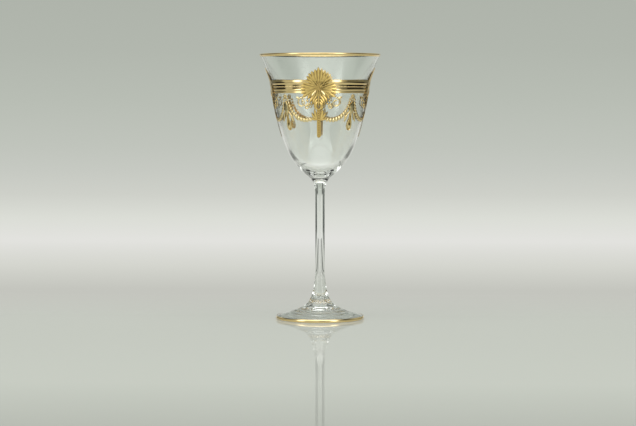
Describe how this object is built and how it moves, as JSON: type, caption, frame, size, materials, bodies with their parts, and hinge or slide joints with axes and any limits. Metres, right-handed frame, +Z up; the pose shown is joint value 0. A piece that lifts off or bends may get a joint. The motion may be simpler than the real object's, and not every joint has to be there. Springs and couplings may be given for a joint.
{
  "type": "red wine glass",
  "caption": "Stemmed wine glass with a flared clear crystal bowl, slim stem and round foot, dressed with a gold rim, a gold frieze, leaf medallions and festoons.",
  "frame": {"origin": "centre of the plane that the foot stands on", "axes": "+Z up along the stem, -Y towards the front medallion"},
  "size_m": [0.096, 0.096, 0.21],
  "materials": {
    "crystal": "clear blown crystal, fire polished, no tint",
    "gold": "fired gold, burnished on the plain bands and satin in the raised motifs"
  },
  "bodies": {
    "root": {"bowl": "crystal", "stem": "crystal", "foot": "crystal", "rim_gilding": "gold", "foot_gilding": "gold", "frieze_upper_rail": "gold", "frieze_bead_course": "gold", "frieze_lower_rail": "gold", "medallion_1": "gold", "medallion_2": "gold", "medallion_3": "gold", "medallion_4": "gold", "centre_pendant_1": "gold", "centre_pendant_2": "gold", "centre_pendant_3": "gold", "centre_pendant_4": "gold", "knot_1": "gold", "knot_2": "gold", "knot_3": "gold", "knot_4": "gold", "knot_pendant_1": "gold", "knot_pendant_2": "gold", "knot_pendant_3": "gold", "knot_pendant_4": "gold", "swag_1": "gold", "swag_2": "gold", "swag_3": "gold", "swag_4": "gold", "swag_5": "gold", "swag_6": "gold", "swag_7": "gold", "swag_8": "gold", "scroll_1": "gold", "scroll_2": "gold", "scroll_3": "gold", "scroll_4": "gold", "scroll_5": "gold", "scroll_6": "gold", "scroll_7": "gold", "scroll_8": "gold"}
  },
  "joints": []
}
